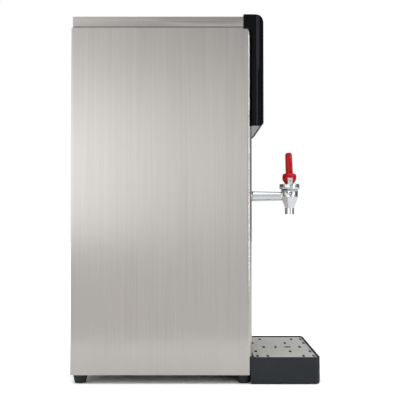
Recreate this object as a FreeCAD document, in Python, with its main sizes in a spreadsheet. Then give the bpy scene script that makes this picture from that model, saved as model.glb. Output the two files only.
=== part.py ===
import FreeCAD, Part
import math
import os
import re
import Sketcher
from FreeCAD import Placement, Rotation, Vector

# Countertop hot water urn, in millimetres.
# +Z is up and -Y is the front, where the tap and the drip tray are.
# The origin lies on the floor, in the middle of the whole object's footprint.

doc = FreeCAD.newDocument("HotWaterUrn")

# Driving sizes

SIZES = {
    "case_width": 210,
    "case_depth": 294,
    "case_height": 564,
    "sheet_gauge": 1.0,
    "bend_radius": 8,
    "edge_bend": 2,
    "rear_return": 27,
    "rear_screw_inset": 20,
    "top_return": 12,
    "foot_height": 15,
    "foot_top_radius": 11.75,
    "foot_sole_radius": 9,
    "foot_side_inset": 17,
    "foot_front_inset": 13,
    "foot_rear_inset": 14,
    "foot_stud_radius": 2.5,
    "foot_stud_rise": 2,
    "foot_sole_round": 1.5,
    "foot_band": 3,
    "foot_nut_radius": 5,
    "foot_nut_height": 4,
    "plate_flange": 12,
    "lid_height": 16.5,
    "lid_inset": 1,
    "gasket_thickness": 1.5,
    "gasket_width": 4,
    "hood_top_rise": 3,
    "hood_wall": 2.3,
    "hood_gap": 0.2,
    "hood_reach": 22.5,
    "hood_crown": 2.5,
    "hood_corner": 20,
    "hood_crown_radius": 2400,
    "hood_slant": 2.1,
    "hood_drop": 182,
    "hood_cap_back": 13.6,
    "hood_cap_lap": 2,
    "hood_brow_radius": 11,
    "hood_chin_radius": 13.5,
    "hood_rim": 6,
    "hood_panel_depth": 0.8,
    "hood_panel_front": 8,
    "hood_panel_low": 24,
    "hood_panel_high": 31,
    "hood_panel_corner": 8,
    "window_wide": 92,
    "window_tall": 46,
    "window_above_chin": 110,
    "window_thickness": 3,
    "window_ledge": 2,
    "window_ledge_thickness": 1.5,
    "window_corner": 3,
    "window_bay": 8,
    "key_radius": 9,
    "key_above_chin": 42,
    "key_travel": 1.5,
    "key_clearance": 0.25,
    "key_proud": 0.5,
    "lamp_radius": 2.5,
    "lamp_spacing": 14,
    "lamp_above_chin": 68,
    "panel_opening_wide": 80,
    "panel_opening_below": 55,
    "panel_opening_above": 25,
    "panel_opening_corner": 6,
    "tray_reach": 110,
    "tray_rim": 43.6,
    "tray_floor_gap": 0.5,
    "tray_wall": 3,
    "tray_corner": 8,
    "tray_sole_round": 4,
    "tray_wrap": 2.6,
    "tray_clearance": 0.3,
    "tray_ledge": 3,
    "tongue_length": 50,
    "tongue_side_gap": 4.25,
    "tongue_thickness": 4.2,
    "tongue_gap": 1.2,
    "grid_thickness": 1.2,
    "grid_recess": 2,
    "grid_clearance": 0.3,
    "grid_slot_long": 18,
    "grid_slot_wide": 4.6,
    "grid_slot_round": 2,
    "finger_hole_radius": 6.8,
    "finger_hole_reach": 69.1,
    "tap_reach": 73.6,
    "tap_height": 306.4,
    "nozzle_drop": 31.4,
    "nozzle_radius": 8,
    "nozzle_bore": 5.5,
    "nozzle_length": 11,
    "tap_body_radius": 14.8,
    "tap_body_rise": 12.2,
    "tap_body_drop": 1.4,
    "tap_body_round": 5,
    "nozzle_round": 4,
    "tap_chamber_radius": 10.5,
    "tap_neck_radius": 13.2,
    "bonnet_radius": 17.6,
    "bonnet_height": 9.4,
    "bonnet_web": 2.5,
    "bonnet_round": 1.2,
    "bonnet_gap": 0.2,
    "seat_well": 2.5,
    "seat_wall": 1.5,
    "seat_depth": 5,
    "shank_bore_rise": 0.6,
    "thread_clearance": 0.1,
    "shank_radius": 7.5,
    "shank_root_radius": 8.9,
    "shank_tail_radius": 8,
    "shank_bore": 4.5,
    "washer_radius": 11.6,
    "washer_thickness": 5,
    "nut_flats": 24,
    "nut_thickness": 7,
    "stem_radius": 4,
    "stem_clearance": 0.1,
    "stem_collar_radius": 7.5,
    "stem_collar_rise": 5,
    "stem_collar_thickness": 1.5,
    "stem_socket": 2.5,
    "stem_tongue_thick": 6.6,
    "stem_lift": 4,
    "seat_height": 3,
    "seat_cup_radius": 8.5,
    "seat_cup_height": 6,
    "seat_cup_lip": 1,
    "seat_cup_band": 2.5,
    "spring_radius": 6.9,
    "spring_wire": 1.2,
    "pin_rise": 5.6,
    "pin_radius": 1.6,
    "pin_clearance": 0.05,
    "handle_gap": 0.6,
    "handle_radius": 12.4,
    "handle_sole_radius": 7.2,
    "handle_base_height": 18.4,
    "handle_length": 36.4,
    "handle_thick": 11.8,
    "handle_tip_thick": 10.6,
    "handle_wide": 15,
    "handle_lean": 1.6,
    "handle_slot_clearance": 0.35,
    "handle_heel_rise": 1.2,
    "handle_heel_round": 7,
    "handle_shoulder_round": 5,
    "handle_root": 4,
    "handle_tip_round": 4,
    "handle_edge": 2.2,
    "tank_side_gap": 19,
    "tank_rear_gap": 36,
    "tank_height": 252,
    "tank_corner": 28,
    "tank_wall": 1.2,
    "tank_bottom_height": 284,
    "tank_flange": 8,
    "tank_front_gap": 26,
    "tank_lid_thickness": 1.5,
    "tank_seal": 2,
    "outlet_drop": 22,
    "pipe_clearance": 0.5,
    "jacket_thickness": 10,
    "jacket_recess": 4,
    "shelf_lip": 15,
    "inlet_reach": 16,
    "inlet_height": 72,
    "inlet_radius": 13.2,
    "inlet_bore": 9,
    "inlet_flange": 18,
    "inlet_flange_thickness": 2,
    "inlet_tail": 16,
    "inlet_nut_thickness": 6,
    "valve_tall": 28,
    "valve_neck_radius": 8,
    "valve_neck_height": 3,
    "valve_width": 34,
    "valve_coil_radius": 17,
    "valve_coil_height": 34,
    "pipe_radius": 6,
    "pipe_bore": 5,
    "overflow_offset": 30,
    "overflow_height": 45,
    "overflow_radius": 7,
    "overflow_setback": 4,
    "element_radius": 4,
    "element_spacing": 20,
    "element_reach": 150,
    "element_rise": 24,
    "element_head_radius": 23,
    "element_head_thick": 8,
    "element_neck_radius": 16,
    "terminal_radius": 2.5,
    "terminal_length": 9,
    "probe_radius": 2,
    "probe_spacing": 22,
    "probe_low": 40,
    "probe_step": 30,
    "probe_rise": 12,
    "probe_collar": 2,
    "probe_collar_rise": 6,
    "sensor_radius": 3,
    "sensor_reach": 60,
    "sensor_tail": 8,
    "cutout_radius": 9,
    "board_width": 120,
    "board_height": 90,
    "board_thickness": 1.6,
    "board_edge": 8,
    "relay_rise": 15,
    "relay_deep": 16,
    "relay_tall": 24,
    "relay_pitch": 22,
    "transformer_rise": 24,
    "transformer_deep": 34,
    "transformer_tall": 30,
    "strip_rise": 11,
    "strip_deep": 56,
    "strip_tall": 10,
    "terminal_block_wide": 26,
    "terminal_block_deep": 52,
    "terminal_block_tall": 20,
    "terminal_block_gap": 14,
    "earth_stud_gap": 56,
    "earth_stud_tall": 14,
    "standoff_length": 8,
    "standoff_radius": 3,
    "standoff_inset": 5,
    "socket_wide": 48,
    "socket_tall": 27,
    "socket_depth": 24,
    "socket_corner": 3,
    "socket_rim": 4,
    "socket_floor": 4,
    "socket_side_wall": 8,
    "socket_wall": 3,
    "blade_spacing": 7,
    "blade_wide": 2,
    "blade_tall": 5,
    "blade_length": 15,
    "blade_drop": 2,
    "blade_rise": 3,
    "socket_side_gap": 57,
    "socket_height": 70,
    "vent_long": 60,
    "vent_wide": 3.5,
    "vent_pitch": 9,
    "vent_count": 9,
    "vent_drop": 60,
    "vent_round": 1.2,
    "screw_radius": 2,
    "screw_head_radius": 3.9,
    "screw_head_height": 2.2,
    "screw_length": 8,
    "drain_radius": 7,
    "drain_cap_wall": 2,
    "board_setback": 12,
    "display_board_margin": 16,
    "display_board_edge": 5,
    "screen_margin": 4,
    "switch_radius": 3,
    "fit_gap": 0.3,
    "board_front": 10,
    "board_low": 120,
    "switch_rise": 5,
    "display_board_wide": 112,
    "bush_half": 4.2,
    "bush_depth": 2.4,
    "bush_rise": 5,
    "bush_sink": 0.8,
    "pin_sink": 0.4,
    "sensor_offset": 34,
    "cutout_offset": 62,
    "screw_spacing": 170,
    "screw_rise": 27,
    "boss_radius": 4,
    "boss_side_inset": 21,
    "boss_rise": 24,
    "boss_drop": 20,
    "drain_height": 38,
    "socket_flange": 2,
    "lid_tab": 40,
    "lid_tab_rise": 13,
    "lid_screw_side": 28,
}

# Sizes worked out from the driving sizes

DERIVED = {
    "half_width": "case_width / 2",
    "tank_width": "case_width - 2 * tank_side_gap",
    "tank_depth": "case_depth - tank_front_gap - tank_rear_gap",
    "tongue_width": "case_width - 2 * (foot_side_inset + foot_top_radius + tongue_side_gap)",
    "boss_offset": "half_width - boss_side_inset",
    "socket_offset": "half_width - socket_side_gap",
    "slot_row_far": "tray_half * 16 / 21",
    "slot_row_near": "tray_half * 8 / 21",
    "outlet_height": "tank_top - outlet_drop",
    "front_face": "tray_reach - (tray_reach + case_depth + inlet_reach) / 2",
    "rear_face": "front_face + case_depth",
    "case_base": "foot_height",
    "case_top": "foot_height + case_height",
    "floor_top": "case_base + sheet_gauge",
    "inner_half": "half_width - sheet_gauge",
    "inner_front": "front_face + sheet_gauge",
    "panel_inside": "rear_face - 2 * sheet_gauge",
    "lid_base": "case_top + gasket_thickness",
    "lid_top": "lid_base + lid_height",
    "hood_top": "lid_top + hood_top_rise",
    "hood_base": "hood_top - hood_drop",
    "hood_half": "half_width + hood_gap + hood_wall",
    "hood_front": "front_face - hood_reach",
    "cap_base": "case_top - hood_cap_lap",
    "window_middle": "hood_base + window_above_chin",
    "window_skin": "hood_front + hood_crown",
    "window_back": "window_skin + window_thickness + window_ledge_thickness",
    "key_middle": "hood_base + key_above_chin",
    "lamp_middle": "hood_base + lamp_above_chin",
    "tray_front": "front_face - tray_reach",
    "tray_half": "half_width",
    "tray_back": "front_face - tray_clearance",
    "grid_top": "tray_rim - grid_recess",
    "grid_base": "grid_top - grid_thickness",
    "tongue_top": "case_base - tongue_gap",
    "tap_line": "front_face - tap_reach",
    "nozzle_tip": "tap_height - nozzle_drop",
    "bonnet_base": "tap_height + tap_body_rise",
    "bonnet_top": "bonnet_base + bonnet_height",
    "bonnet_under": "bonnet_top - bonnet_web",
    "pin_height": "bonnet_top + pin_rise",
    "seat_top": "tap_height - seat_height",
    "neck_top": "bonnet_under - bonnet_gap",
    "seat_cup_top": "seat_top + seat_cup_height",
    "tank_front": "front_face + tank_front_gap",
    "tank_back": "tank_front + tank_depth",
    "tank_middle": "tank_front + tank_depth / 2",
    "tank_top": "tank_bottom_height + tank_height",
    "shelf_height": "tank_bottom_height - jacket_thickness - sheet_gauge",
    "element_height": "tank_bottom_height + element_rise",
    "panel_half": "half_width - edge_bend",
    "vent_top": "case_top - vent_drop",
    "board_face": "window_skin + board_setback",
    "stem_collar_height": "tap_height + stem_collar_rise",
    "stem_collar_top": "stem_collar_height + stem_collar_thickness",
    "handle_shoulder": "bonnet_top + handle_gap + handle_base_height",
    "handle_top": "handle_shoulder + handle_length",
    "valve_front": "panel_inside - inlet_tail - valve_width",
    "valve_top": "inlet_height + valve_tall / 2",
    "overflow_line": "jacket_back + pipe_radius + sheet_gauge",
    "drain_offset": "case_width / 4",
    "jacket_half": "tank_width / 2 + jacket_thickness",
    "jacket_front": "tank_front - jacket_thickness",
    "jacket_back": "tank_back + jacket_thickness",
    "socket_half": "socket_wide / 2",
    "earth_line": "board_front + board_width * 0.55",
    "socket_bed": "rear_face - sheet_gauge - socket_depth",
}

sheet = doc.addObject("Spreadsheet::Sheet", "Sizes")
for row, (alias, size) in enumerate(SIZES.items(), start=1):
    sheet.set("A%d" % row, alias.replace("_", " "))
    sheet.set("B%d" % row, str(size))
    sheet.setAlias("B%d" % row, alias)
doc.recompute()


def formula(text):
    """Writes a formula out in full, with each named size read from the sheet."""
    def spell(match):
        word = match.group(0)
        if word in DERIVED:
            return "(" + formula(DERIVED[word]) + ")"
        if word in SIZES:
            return "Sizes." + word
        return word
    return re.sub(r"[a-z][a-z_]+", spell, str(text))


def number(text):
    """The present value of a formula."""
    return float(sheet.evalExpression(formula(text)))


def bind(thing, **properties):
    """Ties properties of a document object to formulas; a double underscore is a dot."""
    for name, text in properties.items():
        thing.setExpression(name.replace("__", "."), formula(text))
    return thing


# Where pieces stand

def stand(thing, x=0, y=0, z=0):
    return bind(thing, Placement__Base__x=x, Placement__Base__y=y, Placement__Base__z=z)


TURNS = {
    "x": Rotation(Vector(0, 1, 0), 90),
    "y": Rotation(Vector(1, 0, 0), -90),
    "z": Rotation(),
}


# Solids made from primitives

def block(name, x, y, z, long, deep, tall):
    """A block whose lowest corner is at x, y, z."""
    made = doc.addObject("Part::Box", name)
    bind(made, Length=long, Width=deep, Height=tall)
    return stand(made, x, y, z)


def rod(name, axis, x, y, z, radius, length):
    """A cylinder that starts at x, y, z and runs up the axis."""
    made = doc.addObject("Part::Cylinder", name)
    made.Placement = Placement(Vector(), TURNS[axis])
    bind(made, Radius=radius, Height=length)
    return stand(made, x, y, z)


def cone(name, axis, x, y, z, radius_low, radius_high, length):
    made = doc.addObject("Part::Cone", name)
    made.Placement = Placement(Vector(), TURNS[axis])
    bind(made, Radius1=radius_low, Radius2=radius_high, Height=length)
    return stand(made, x, y, z)


def fuse(name, *pieces):
    made = doc.addObject("Part::MultiFuse", name)
    made.Shapes = list(pieces)
    made.Refine = True
    return made


def cut(name, base, *tools):
    made = doc.addObject("Part::Cut", name)
    made.Base = base
    made.Tool = tools[0] if len(tools) == 1 else fuse(name + "_cutters", *tools)
    return made


def group(name, pieces):
    """Like pieces that share a node and stay separate solids."""
    made = doc.addObject("Part::Compound", name)
    made.Links = list(pieces)
    return made


# Solids made from sketches

def new_body(name):
    return doc.addObject("PartDesign::Body", name)


def new_sketch(body, plane, at):
    """A sketch on one of the body's own planes, moved to the height at along its normal."""
    role = {"XY": "XY_Plane", "XZ": "XZ_Plane", "YZ": "YZ_Plane"}[plane]
    support = [part for part in body.Origin.OriginFeatures if part.Role == role][0]
    drawn = body.newObject("Sketcher::SketchObject", body.Name + "_sketch")
    drawn.AttachmentSupport = [(support, "")]
    drawn.MapMode = "FlatFace"
    bind(drawn, AttachmentOffset__Base__z="-(%s)" % at if plane == "XZ" else at)
    return drawn


def add_constraints(drawn, wanted):
    """Adds (constraint, formula) pairs together; the formula may be None."""
    indices = drawn.addConstraint([rule for rule, _ in wanted])
    for index, (_, text) in zip(indices, wanted):
        if text is not None:
            drawn.setExpression("Constraints[%d]" % index, formula(text))


def first_of_runs(texts):
    """Marks the corners that start a run of corners which share a coordinate."""
    count = len(texts)
    return [texts[i - 1] != texts[i] for i in range(count)]


def draw_outline(drawn, corners):
    """Draws a closed outline through corners, each (u, v) or (u, v, radius) as formulas."""
    count = len(corners)
    u_texts = [str(corner[0]) for corner in corners]
    v_texts = [str(corner[1]) for corner in corners]
    points = [Vector(number(c[0]), number(c[1]), 0) for c in corners]
    radii = [number(c[2]) if len(c) > 2 else 0 for c in corners]
    leaving = []
    arriving = []
    middles = []
    for i, point in enumerate(points):
        back = (points[i - 1] - point).normalize()
        ahead = (points[(i + 1) % count] - point).normalize()
        turn = math.pi - back.getAngle(ahead)
        reach = radii[i] * math.tan(turn / 2)
        arriving.append(point + back * reach)
        leaving.append(point + ahead * reach)
        bisector = (back + ahead).normalize()
        middles.append(point + bisector * (radii[i] / math.cos(turn / 2)))
    sides = drawn.addGeometry([Part.LineSegment(leaving[i], arriving[(i + 1) % count])
                               for i in range(count)])
    wanted = []
    for i in range(count):
        after = (i + 1) % count
        if u_texts[i] == u_texts[after]:
            wanted.append((Sketcher.Constraint("Vertical", sides[i]), None))
        if v_texts[i] == v_texts[after]:
            wanted.append((Sketcher.Constraint("Horizontal", sides[i]), None))
    pins = zip(first_of_runs(u_texts), first_of_runs(v_texts))
    for i, (pin_u, pin_v) in enumerate(pins):
        if radii[i]:
            held, end = round_corner(drawn, wanted, corners[i], points[i], middles[i],
                                     arriving[i], leaving[i], sides[i - 1], sides[i])
        else:
            held, end = sides[i], 1
            wanted.append((Sketcher.Constraint("Coincident", sides[i - 1], 2, held, 1), None))
        if pin_u:
            rule = Sketcher.Constraint("DistanceX", -1, 1, held, end, points[i].x)
            wanted.append((rule, corners[i][0]))
        if pin_v:
            rule = Sketcher.Constraint("DistanceY", -1, 1, held, end, points[i].y)
            wanted.append((rule, corners[i][1]))
    add_constraints(drawn, wanted)


def round_corner(drawn, wanted, corner, point, middle, arriving, leaving, before, after):
    """Draws a corner's arc between two sides, and the point where they would meet."""
    radius = (arriving - middle).Length
    start = math.atan2(arriving.y - middle.y, arriving.x - middle.x)
    end = math.atan2(leaving.y - middle.y, leaving.x - middle.x)
    left = (end - start) % (2 * math.pi) < math.pi
    low, high = (start, end) if left else (end, start)
    if high < low:
        high += 2 * math.pi
    circle = Part.Circle(middle, Vector(0, 0, 1), radius)
    arc = drawn.addGeometry(Part.ArcOfCircle(circle, low, high))
    peg = drawn.addGeometry(Part.Point(point), True)
    first, last = (1, 2) if left else (2, 1)
    wanted.append((Sketcher.Constraint("Tangent", before, 2, arc, first), None))
    wanted.append((Sketcher.Constraint("Tangent", arc, last, after, 1), None))
    wanted.append((Sketcher.Constraint("Radius", arc, radius), corner[2]))
    wanted.append((Sketcher.Constraint("PointOnObject", peg, 1, before), None))
    wanted.append((Sketcher.Constraint("PointOnObject", peg, 1, after), None))
    return peg, 1


def draw_circle(drawn, u, v, radius):
    middle = Vector(number(u), number(v), 0)
    ring = drawn.addGeometry(Part.Circle(middle, Vector(0, 0, 1), number(radius)))
    add_constraints(drawn, [
        (Sketcher.Constraint("Radius", ring, number(radius)), radius),
        (Sketcher.Constraint("DistanceX", -1, 1, ring, 3, middle.x), u),
        (Sketcher.Constraint("DistanceY", -1, 1, ring, 3, middle.y), v),
    ])


def rectangle(u_low, v_low, u_high, v_high, radius=None):
    corners = [(u_low, v_low), (u_high, v_low), (u_high, v_high), (u_low, v_high)]
    return [corner + (radius,) for corner in corners] if radius else corners


def eased(corners, facets=2):
    """Swaps each rounded corner of an outline for short straight facets along its arc."""
    points = [Vector(number(c[0]), number(c[1]), 0) for c in corners]
    made = []
    for i, corner in enumerate(corners):
        if len(corner) < 3:
            made.append(corner)
            continue
        back = (points[i - 1] - points[i]).normalize()
        ahead = (points[(i + 1) % len(points)] - points[i]).normalize()
        half_turn = (math.pi - back.getAngle(ahead)) / 2
        radius = number(corner[2])
        middle = (back + ahead).normalize() * (radius / math.cos(half_turn))
        start = back * (radius * math.tan(half_turn)) - middle
        way = math.copysign(1, back.cross(ahead).z)
        for step in range(facets + 1):
            turn = math.degrees(-way * 2 * half_turn * step / facets)
            spot = middle + Rotation(Vector(0, 0, 1), turn).multVec(start)
            made.append(("(%s) + %.4f" % (corner[0], spot.x), "(%s) + %.4f" % (corner[1], spot.y)))
    return made


def extrude(body, kind, plane, low, high, outlines, circles=()):
    """Adds a Pad or cuts a Pocket between two heights along a plane's axis."""
    drawn = new_sketch(body, plane, high if plane == "XZ" else low)
    for corners in outlines:
        draw_outline(drawn, corners)
    for ring in circles:
        draw_circle(drawn, *ring)
    feature = body.newObject("PartDesign::" + kind, body.Name + "_" + kind.lower())
    feature.Profile = drawn
    feature.Reversed = kind == "Pocket"
    bind(feature, Length="(%s) - (%s)" % (high, low))
    return feature


def pad(body, plane, low, high, *outlines, circles=()):
    return extrude(body, "Pad", plane, low, high, outlines, circles)


def pocket(body, plane, low, high, *outlines, circles=()):
    return extrude(body, "Pocket", plane, low, high, outlines, circles)


def turned(name, corners, x=0, y=0, z=0):
    """A turned piece: its half section (radius, height) spun about an upright axis."""
    body = new_body(name)
    drawn = new_sketch(body, "XZ", 0)
    draw_outline(drawn, corners)
    spun = body.newObject("PartDesign::Revolution", name + "_spin")
    spun.Profile = drawn
    spun.ReferenceAxis = (drawn, ["V_Axis"])
    spun.Angle = 360
    return stand(body, x, y, z)


def dress_edges(body, kind, wanted, **sizes):
    """Adds a Fillet or a Chamfer on the edges of a body's tip that a test picks out."""
    doc.recompute()
    tip = body.Tip
    names = ["Edge%d" % (i + 1) for i, edge in enumerate(tip.Shape.Edges) if wanted(edge)]
    made = body.newObject("PartDesign::" + kind, body.Name + "_" + kind.lower())
    made.Base = (tip, names)
    return bind(made, **sizes)


subparts = {}


def keep(name, made):
    """Names a finished sub-part, so that it is written out."""
    made.Label = name
    subparts[name] = made
    return made


# Steel case

def body_shell():
    body = new_body("body_shell")
    side = "half_width"
    inner = "inner_half"
    lip = "half_width - rear_return"
    corners = [
        ("-(%s)" % lip, "rear_face"),
        ("-(%s)" % side, "rear_face", "edge_bend"),
        ("-(%s)" % side, "front_face", "bend_radius"),
        (side, "front_face", "bend_radius"),
        (side, "rear_face", "edge_bend"),
        (lip, "rear_face"),
        (lip, "rear_face - sheet_gauge"),
        (inner, "rear_face - sheet_gauge", "edge_bend - sheet_gauge"),
        (inner, "inner_front", "bend_radius - sheet_gauge"),
        ("-(%s)" % inner, "inner_front", "bend_radius - sheet_gauge"),
        ("-(%s)" % inner, "rear_face - sheet_gauge", "edge_bend - sheet_gauge"),
        ("-(%s)" % lip, "rear_face - sheet_gauge"),
    ]
    pad(body, "XY", "case_base", "case_top", corners)
    for low, high in (("-(inner_half)", "top_return - inner_half"),
                      ("inner_half - top_return", "inner_half")):
        pad(body, "XY", "case_top - sheet_gauge", "case_top",
            rectangle(low, "inner_front + bend_radius", high, "panel_inside"))
    over = "case_top + bend_radius"
    pocket(body, "YZ", "-(case_width)", "case_width",
           [("front_face - bend_radius", "case_top - 2 * bend_radius"),
            ("front_face", "case_top - 2 * bend_radius"),
            ("front_face", "case_top", "bend_radius"),
            ("front_face + 2 * bend_radius", "case_top"),
            ("front_face + 2 * bend_radius", over),
            ("front_face - bend_radius", over)])
    pocket(body, "XZ", "front_face - sheet_gauge", "front_face + 3 * sheet_gauge",
           rectangle("-(panel_opening_wide) / 2", "window_middle - panel_opening_below",
                     "panel_opening_wide / 2", "window_middle + panel_opening_above",
                     "panel_opening_corner"),
           circles=[(0, "tap_height", "shank_tail_radius + thread_clearance")]
           + [(x, z, "screw_radius") for x, z in boss_places()])
    pocket(body, "XZ", "panel_inside", "rear_face + 1",
           circles=[(x, z, "screw_radius") for x, z in rear_screw_places()])
    keep("body_shell", body)


def boss_places():
    """Where the fascia is screwed to the front of the case."""
    return [(x, z) for x in ("-(boss_offset)", "boss_offset")
            for z in ("hood_base + boss_rise", "cap_base - boss_drop")]


def rear_screw_places():
    side = "half_width - rear_screw_inset"
    return [(x, "case_base + screw_rise + %d * screw_spacing" % row)
            for x in ("-(%s)" % side, side) for row in range(4)]


def lid_screw_places():
    return [(x, "lid_base + lid_tab_rise / 2") for x in ("-(lid_screw_side)", "lid_screw_side")]


def rear_panel():
    body = new_body("rear_panel")
    pad(body, "XZ", "panel_inside", "rear_face - sheet_gauge",
        rectangle("-(panel_half)", "floor_top", "panel_half", "case_top"))
    pad(body, "XZ", "panel_inside", "rear_face - sheet_gauge",
        rectangle("-(lid_tab)", "case_top - sheet_gauge", "lid_tab", "lid_base + lid_tab_rise"))
    pocket(body, "XZ", "panel_inside - 1", "rear_face",
           rectangle("socket_offset - socket_wide / 2", "socket_height - socket_tall / 2",
                     "socket_offset + socket_wide / 2", "socket_height + socket_tall / 2",
                     "socket_corner"),
           circles=[(0, "inlet_height", "inlet_radius"),
                    ("-(overflow_offset)", "overflow_height", "pipe_radius"),
                    ("drain_offset", "drain_height", "pipe_radius")]
           + [(x, z, "screw_radius") for x, z in rear_screw_places() + lid_screw_places()])
    vent = pocket(body, "XZ", "panel_inside - 1", "rear_face",
                  eased(rectangle("-(vent_long) / 2", "vent_top - vent_wide",
                                  "vent_long / 2", "vent_top", "vent_round"), 1))
    rows = body.newObject("PartDesign::LinearPattern", "vent_rows")
    rows.Originals = [vent]
    rows.Direction = (vent.Profile[0], ["V_Axis"])
    rows.Reversed = True
    bind(rows, Length="vent_pitch * (vent_count - 1)", Occurrences="vent_count")
    body.Tip = rows
    keep("rear_panel", body)


def base_plate():
    body = new_body("base_plate")
    corners = [
        ("-(inner_half)", "panel_inside"),
        ("-(inner_half)", "inner_front", "bend_radius - sheet_gauge"),
        ("inner_half", "inner_front", "bend_radius - sheet_gauge"),
        ("inner_half", "panel_inside"),
    ]
    pad(body, "XY", "case_base", "floor_top", corners)
    flange = "case_base + plate_flange"
    for low, high in (("-(inner_half)", "sheet_gauge - inner_half"),
                      ("inner_half - sheet_gauge", "inner_half")):
        pad(body, "XY", "floor_top", flange,
            rectangle(low, "inner_front + bend_radius", high, "panel_inside"))
    feet = [(x, y, "foot_stud_radius") for x, y in foot_places()]
    pocket(body, "XY", "case_base - 1", "floor_top + 1",
           circles=feet)
    keep("base_plate", body)


def foot_places():
    side = "half_width - foot_side_inset"
    return [("-(%s)" % side, "front_face + foot_front_inset"),
            (side, "front_face + foot_front_inset"),
            ("-(%s)" % side, "rear_face - foot_rear_inset"),
            (side, "rear_face - foot_rear_inset")]


def feet():
    names = ["foot_front_left", "foot_front_right", "foot_rear_left", "foot_rear_right"]
    for name, (x, y) in zip(names, foot_places()):
        made = turned(name, eased([
            (0, 0),
            ("foot_sole_radius", 0, "foot_sole_round"),
            ("foot_top_radius", "foot_height - foot_band"),
            ("foot_top_radius", "foot_height"),
            ("foot_stud_radius", "foot_height"),
            ("foot_stud_radius", "floor_top + foot_stud_rise"),
            (0, "floor_top + foot_stud_rise"),
        ]), x, y)
        keep(name, made)
    nuts = []
    for i, (x, y) in enumerate(foot_places()):
        nut = rod("foot_nut_%d" % i, "z", x, y, "floor_top", "foot_nut_radius", "foot_nut_height")
        hole = rod("foot_nut_hole_%d" % i, "z", x, y, "case_base", "foot_stud_radius",
                   "2 * foot_nut_height")
        nuts.append(cut("foot_nut_ring_%d" % i, nut, hole))
    keep("foot_nuts", group("foot_nuts", nuts))


# Lid and its gasket

def lid_outline(inset):
    edge = "lid_inset + %s" % inset
    return [
        ("-(half_width - (%s))" % edge, "rear_face - (%s) - sheet_gauge" % edge, "edge_bend"),
        ("-(half_width - (%s))" % edge, "front_face + (%s)" % edge, "bend_radius - lid_inset"),
        ("half_width - (%s)" % edge, "front_face + (%s)" % edge, "bend_radius - lid_inset"),
        ("half_width - (%s)" % edge, "rear_face - (%s) - sheet_gauge" % edge, "edge_bend"),
    ]


def lid():
    body = new_body("lid")
    pad(body, "XY", "lid_base", "lid_top", lid_outline(0))
    pocket(body, "XY", "lid_base", "lid_top - sheet_gauge", lid_outline("sheet_gauge"))
    pocket(body, "XZ", "panel_inside - 2 * sheet_gauge", "panel_inside + 1",
           circles=[(x, z, "screw_radius") for x, z in lid_screw_places()])
    keep("lid", body)
    ring = new_body("lid_gasket")
    pad(ring, "XY", "case_top", "lid_base", lid_outline(0.4))
    pocket(ring, "XY", "case_top", "lid_base", lid_outline("gasket_width"))
    keep("lid_gasket", ring)


# Gloss moulding over the top of the front

def fascia():
    body = new_body("fascia")
    outline = [
        ("-(hood_half)", "front_face + hood_cap_back"),
        ("-(hood_half)", "hood_front + hood_crown", "hood_corner"),
        (0, "hood_front", "hood_crown_radius"),
        ("hood_half", "hood_front + hood_crown", "hood_corner"),
        ("hood_half", "front_face + hood_cap_back"),
    ]
    pad(body, "XY", "hood_base", "hood_top", outline)
    ends = ("-(case_width)", "case_width")
    pocket(body, "YZ", *ends, [
        ("front_face - hood_gap", "hood_base - 1"),
        ("front_face - hood_gap", "cap_base", "bend_radius"),
        ("front_face + 2 * hood_cap_back", "cap_base"),
        ("front_face + 2 * hood_cap_back", "hood_base - 1")])
    # The front leans out as it goes down, with a rounded brow above and chin below.
    ahead = "hood_front - hood_reach"
    pocket(body, "YZ", *ends, [
        ("front_face + hood_cap_back", "hood_top"),
        ("hood_front + hood_slant", "hood_top", "hood_brow_radius"),
        ("hood_front", "hood_base", "hood_chin_radius"),
        ("front_face", "hood_base"),
        ("front_face", "hood_base - 1"),
        (ahead, "hood_base - 1"),
        (ahead, "hood_top + 1"),
        ("front_face + hood_cap_back", "hood_top + 1")])
    # Hollow behind the front wall and over the lid.
    room = "hood_half - hood_wall"
    hollow = "hood_front + hood_crown + hood_wall"
    pocket(body, "XY", "hood_base + hood_wall + hood_rim", "hood_top - hood_wall - hood_rim", [
        ("-(%s)" % room, "front_face + 2 * hood_cap_back"),
        ("-(%s)" % room, hollow, "hood_corner - hood_wall"),
        (room, hollow, "hood_corner - hood_wall"),
        (room, "front_face + 2 * hood_cap_back")])
    pocket(body, "XY", "hood_top - hood_wall - hood_rim - 1", "lid_top + hood_gap",
           rectangle("-(%s)" % room, "front_face - 1", room, "front_face + 2 * hood_cap_back"))
    pocket(body, "XZ", "hood_front - 1", "front_face - window_bay",
           rectangle("-(window_wide) / 2", "window_middle - window_tall / 2",
                     "window_wide / 2", "window_middle + window_tall / 2", "window_corner"),
           circles=[(0, "key_middle", "key_radius + key_clearance")]
           + [(place, "lamp_middle", "lamp_radius") for place in lamp_places()])
    pad(body, "XZ", "hood_front + hood_crown + hood_wall / 2", "front_face - hood_gap",
        circles=[(x, z, "boss_radius") for x, z in boss_places()])
    pocket(body, "XZ", "front_face - hood_gap - screw_length", "front_face - hood_gap",
           circles=[(x, z, "screw_radius") for x, z in boss_places()])
    # A shallow panel sunk into each side, with a rounded rim along the front.
    panel = [("front_face", "hood_base + hood_panel_low"),
             ("hood_front + hood_panel_front", "hood_base + hood_panel_low", "hood_panel_corner"),
             ("hood_front + hood_panel_front", "hood_top - hood_panel_high", "hood_panel_corner"),
             ("front_face", "hood_top - hood_panel_high")]
    for low, high in (("-(hood_half) - 1", "hood_panel_depth - hood_half"),
                      ("hood_half - hood_panel_depth", "hood_half + 1")):
        pocket(body, "YZ", low, high, panel)
    keep("fascia", body)


def lamp_places():
    return ["-(lamp_spacing)", 0, "lamp_spacing"]


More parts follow.
